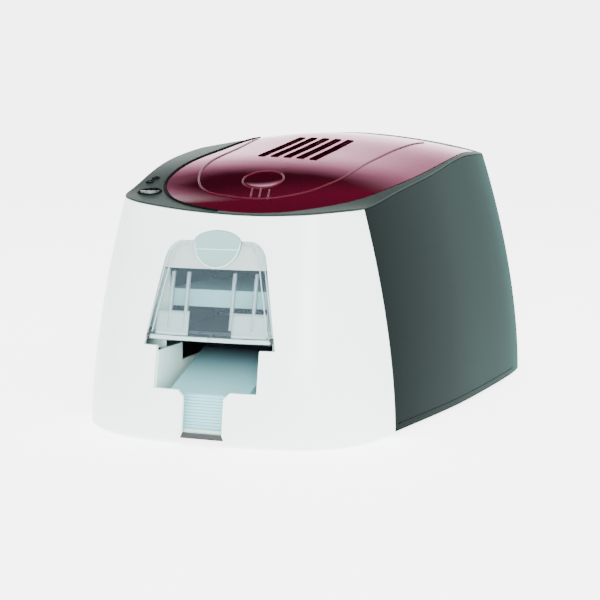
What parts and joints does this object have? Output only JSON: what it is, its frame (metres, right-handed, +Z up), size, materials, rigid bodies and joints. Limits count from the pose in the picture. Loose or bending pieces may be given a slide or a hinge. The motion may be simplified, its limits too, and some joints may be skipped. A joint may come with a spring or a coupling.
{
  "type": "id card printer",
  "caption": "Desktop card printer with a hinged tinted top cover, a clear tilting feeder door, an open output bay holding cards, and a geared roller card path inside.",
  "frame": {"origin": "front centre of the body at the table surface", "axes": "+X to the right seen from the front, +Y towards the rear, +Z up"},
  "size_m": [0.2732, 0.349, 0.193],
  "materials": {
    "white_plastic": "satin",
    "grey_plastic": "fine grain",
    "dark_plastic": "fine grain",
    "rim_plastic": "satin",
    "red_clear_plastic": "clear tinted",
    "clear_plastic": "clear",
    "light_plastic": "satin",
    "silver_plastic": "satin",
    "card_plastic": "smooth",
    "black_plastic": "matte",
    "steel": "plated",
    "sheet_aluminium": "satin",
    "roller_rubber": "ground",
    "gear_plastic": "natural",
    "ribbon_film": "glossy",
    "board_green": "coated",
    "foot_rubber": "matte"
  },
  "bodies": {
    "housing": {"front_panel": "white_plastic", "left_side_panel": "grey_plastic", "right_side_panel": "grey_plastic", "rear_panel": "grey_plastic", "base_tray": "dark_plastic", "card_hopper": "dark_plastic", "top_rim": "rim_plastic", "indicator_lenses": "clear_plastic", "output_bay": "light_plastic", "card_stack": "card_plastic", "hinge_brackets": "black_plastic", "door_brackets": "black_plastic", "ribbon_cassette": "black_plastic", "cassette_saddles": "black_plastic", "usb_socket": "black_plastic", "power_socket": "black_plastic", "cover_hinge_pin": "steel", "door_pins": "steel", "left_frame_plate": "steel", "right_frame_plate": "steel", "cross_bars": "steel", "idler_studs": "steel", "motor_bracket": "steel", "drive_motor": "steel", "shaft_bushes": "gear_plastic", "board_standoffs": "gear_plastic", "main_board": "board_green", "socket_board": "board_green", "button_board": "board_green", "rubber_feet": "foot_rubber"},
    "cover": {"top_cover": "red_clear_plastic", "print_head": "sheet_aluminium", "head_heatsink": "sheet_aluminium", "head_carrier": "black_plastic"},
    "door": {"feeder_door": "clear_plastic", "door_thumb_tab": "light_plastic"},
    "button": {"control_button": "silver_plastic"},
    "feed_plate": {"pressure_plate": "light_plastic"},
    "pickup": {"pickup_shaft": "steel", "pickup_roller": "roller_rubber", "pickup_gear": "gear_plastic"},
    "infeed": {"infeed_shaft": "steel", "infeed_roller": "roller_rubber", "infeed_gear": "gear_plastic"},
    "platen": {"platen_shaft": "steel", "platen_roller": "roller_rubber", "platen_gear": "gear_plastic"},
    "outfeed": {"outfeed_shaft": "steel", "outfeed_roller": "roller_rubber", "outfeed_gear": "gear_plastic"},
    "small_idler": {"pickup_idler": "gear_plastic"},
    "first_idler": {"front_idler": "gear_plastic"},
    "second_idler": {"rear_idler": "gear_plastic"},
    "pinion": {"motor_pinion": "steel"},
    "infeed_pinch": {"infeed_pinch_roller": "roller_rubber"},
    "outfeed_pinch": {"outfeed_pinch_roller": "roller_rubber"},
    "supply": {"supply_spool": "black_plastic", "supply_ribbon_roll": "ribbon_film"},
    "takeup": {"takeup_spool": "black_plastic", "takeup_ribbon_roll": "ribbon_film"}
  },
  "joints": [
    {"name": "cover_hinge", "type": "hinge", "parent": "housing", "child": "cover", "pos_m": [0, 0.3055, 0.182], "axis": [-1, 0, 0], "range_deg": [0, 65]},
    {"name": "door_hinge", "type": "hinge", "parent": "housing", "child": "door", "pos_m": [0, 0.019, 0.0665], "axis": [1, 0, 0], "range_deg": [0, 55]},
    {"name": "button_press", "type": "slide", "parent": "housing", "child": "button", "axis": [0, 0, -1], "range_m": [0, 0.001], "stiffness_N_per_m": 600},
    {"name": "feed_plate_slide", "type": "slide", "parent": "housing", "child": "feed_plate", "axis": [0, 0, -1], "range_m": [0, 0.012]},
    {"name": "outfeed_spin", "type": "hinge", "parent": "housing", "child": "outfeed", "pos_m": [0, 0.23, 0.0846], "axis": [1, 0, 0], "continuous": true},
    {"name": "platen_spin", "type": "hinge", "parent": "housing", "child": "platen", "pos_m": [0, 0.19, 0.0846], "axis": [1, 0, 0], "continuous": true},
    {"name": "infeed_spin", "type": "hinge", "parent": "housing", "child": "infeed", "pos_m": [0, 0.15, 0.0846], "axis": [1, 0, 0], "continuous": true},
    {"name": "pickup_spin", "type": "hinge", "parent": "housing", "child": "pickup", "pos_m": [0, 0.118, 0.0846], "axis": [1, 0, 0], "continuous": true},
    {"name": "second_idler_spin", "type": "hinge", "parent": "housing", "child": "second_idler", "pos_m": [0, 0.21, 0.0846], "axis": [1, 0, 0], "continuous": true},
    {"name": "first_idler_spin", "type": "hinge", "parent": "housing", "child": "first_idler", "pos_m": [0, 0.17, 0.0846], "axis": [1, 0, 0], "continuous": true},
    {"name": "small_idler_spin", "type": "hinge", "parent": "housing", "child": "small_idler", "pos_m": [0, 0.134, 0.0846], "axis": [1, 0, 0], "continuous": true},
    {"name": "pinion_spin", "type": "hinge", "parent": "housing", "child": "pinion", "pos_m": [0, 0.23, 0.0686], "axis": [1, 0, 0], "continuous": true},
    {"name": "infeed_pinch_spin", "type": "hinge", "parent": "housing", "child": "infeed_pinch", "pos_m": [0, 0.15, 0.0974], "axis": [1, 0, 0], "continuous": true},
    {"name": "outfeed_pinch_spin", "type": "hinge", "parent": "housing", "child": "outfeed_pinch", "pos_m": [0, 0.23, 0.0974], "axis": [1, 0, 0], "continuous": true},
    {"name": "supply_spin", "type": "hinge", "parent": "housing", "child": "supply", "pos_m": [0, 0.238, 0.134], "axis": [1, 0, 0], "continuous": true},
    {"name": "takeup_spin", "type": "hinge", "parent": "housing", "child": "takeup", "pos_m": [0, 0.138, 0.134], "axis": [1, 0, 0], "continuous": true}
  ],
  "couplings": [
    {"joint": "platen_spin", "follows": "outfeed_spin", "ratio": 1},
    {"joint": "infeed_spin", "follows": "outfeed_spin", "ratio": 1},
    {"joint": "pickup_spin", "follows": "outfeed_spin", "ratio": 1},
    {"joint": "second_idler_spin", "follows": "outfeed_spin", "ratio": -1},
    {"joint": "first_idler_spin", "follows": "outfeed_spin", "ratio": -1},
    {"joint": "small_idler_spin", "follows": "outfeed_spin", "ratio": -1.6667},
    {"joint": "pinion_spin", "follows": "outfeed_spin", "ratio": -1.6667},
    {"joint": "infeed_pinch_spin", "follows": "outfeed_spin", "ratio": -1.4},
    {"joint": "outfeed_pinch_spin", "follows": "outfeed_spin", "ratio": -1.4},
    {"joint": "supply_spin", "follows": "outfeed_spin", "ratio": -0.53846},
    {"joint": "takeup_spin", "follows": "outfeed_spin", "ratio": -0.7}
  ]
}
